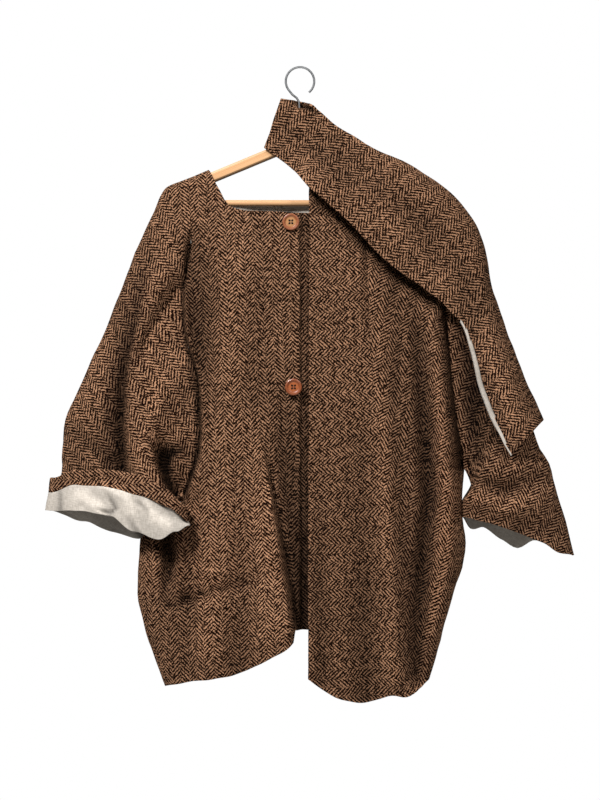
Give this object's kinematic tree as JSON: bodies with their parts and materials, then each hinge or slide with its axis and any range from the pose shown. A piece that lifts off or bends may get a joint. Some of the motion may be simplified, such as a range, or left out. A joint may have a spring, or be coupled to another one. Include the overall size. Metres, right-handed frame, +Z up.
{
  "type": "reversible jacket on a hanger",
  "caption": "Wide tweed jacket with linen inside, one cuff turned up, a scarf collar and round buttons, hung on a wooden hanger.",
  "frame": {"origin": "the inside of the hook's crown, where a rail carries the hanger", "axes": "+Z up, the jacket's front faces -Y, +X to the viewer's right from in front"},
  "size_m": [0.815, 0.1059, 0.9703],
  "materials": {
    "tweed": "herringbone wool tweed",
    "linen": "plain woven linen",
    "wood": "satin beech",
    "steel": "plated wire",
    "button": "polished horn look"
  },
  "bodies": {
    "root": {"back": "tweed", "right_front": "tweed", "left_front": "tweed", "left_front_band": "tweed", "right_sleeve": "tweed", "left_sleeve": "tweed", "right_cuff_strip": "tweed", "right_cuff_turnup": "linen", "scarf_collar": "tweed", "button_top": "button", "button_lower": "button", "hanger_arms": "wood", "hanger_bar": "wood", "hanger_hook": "steel"}
  },
  "joints": []
}
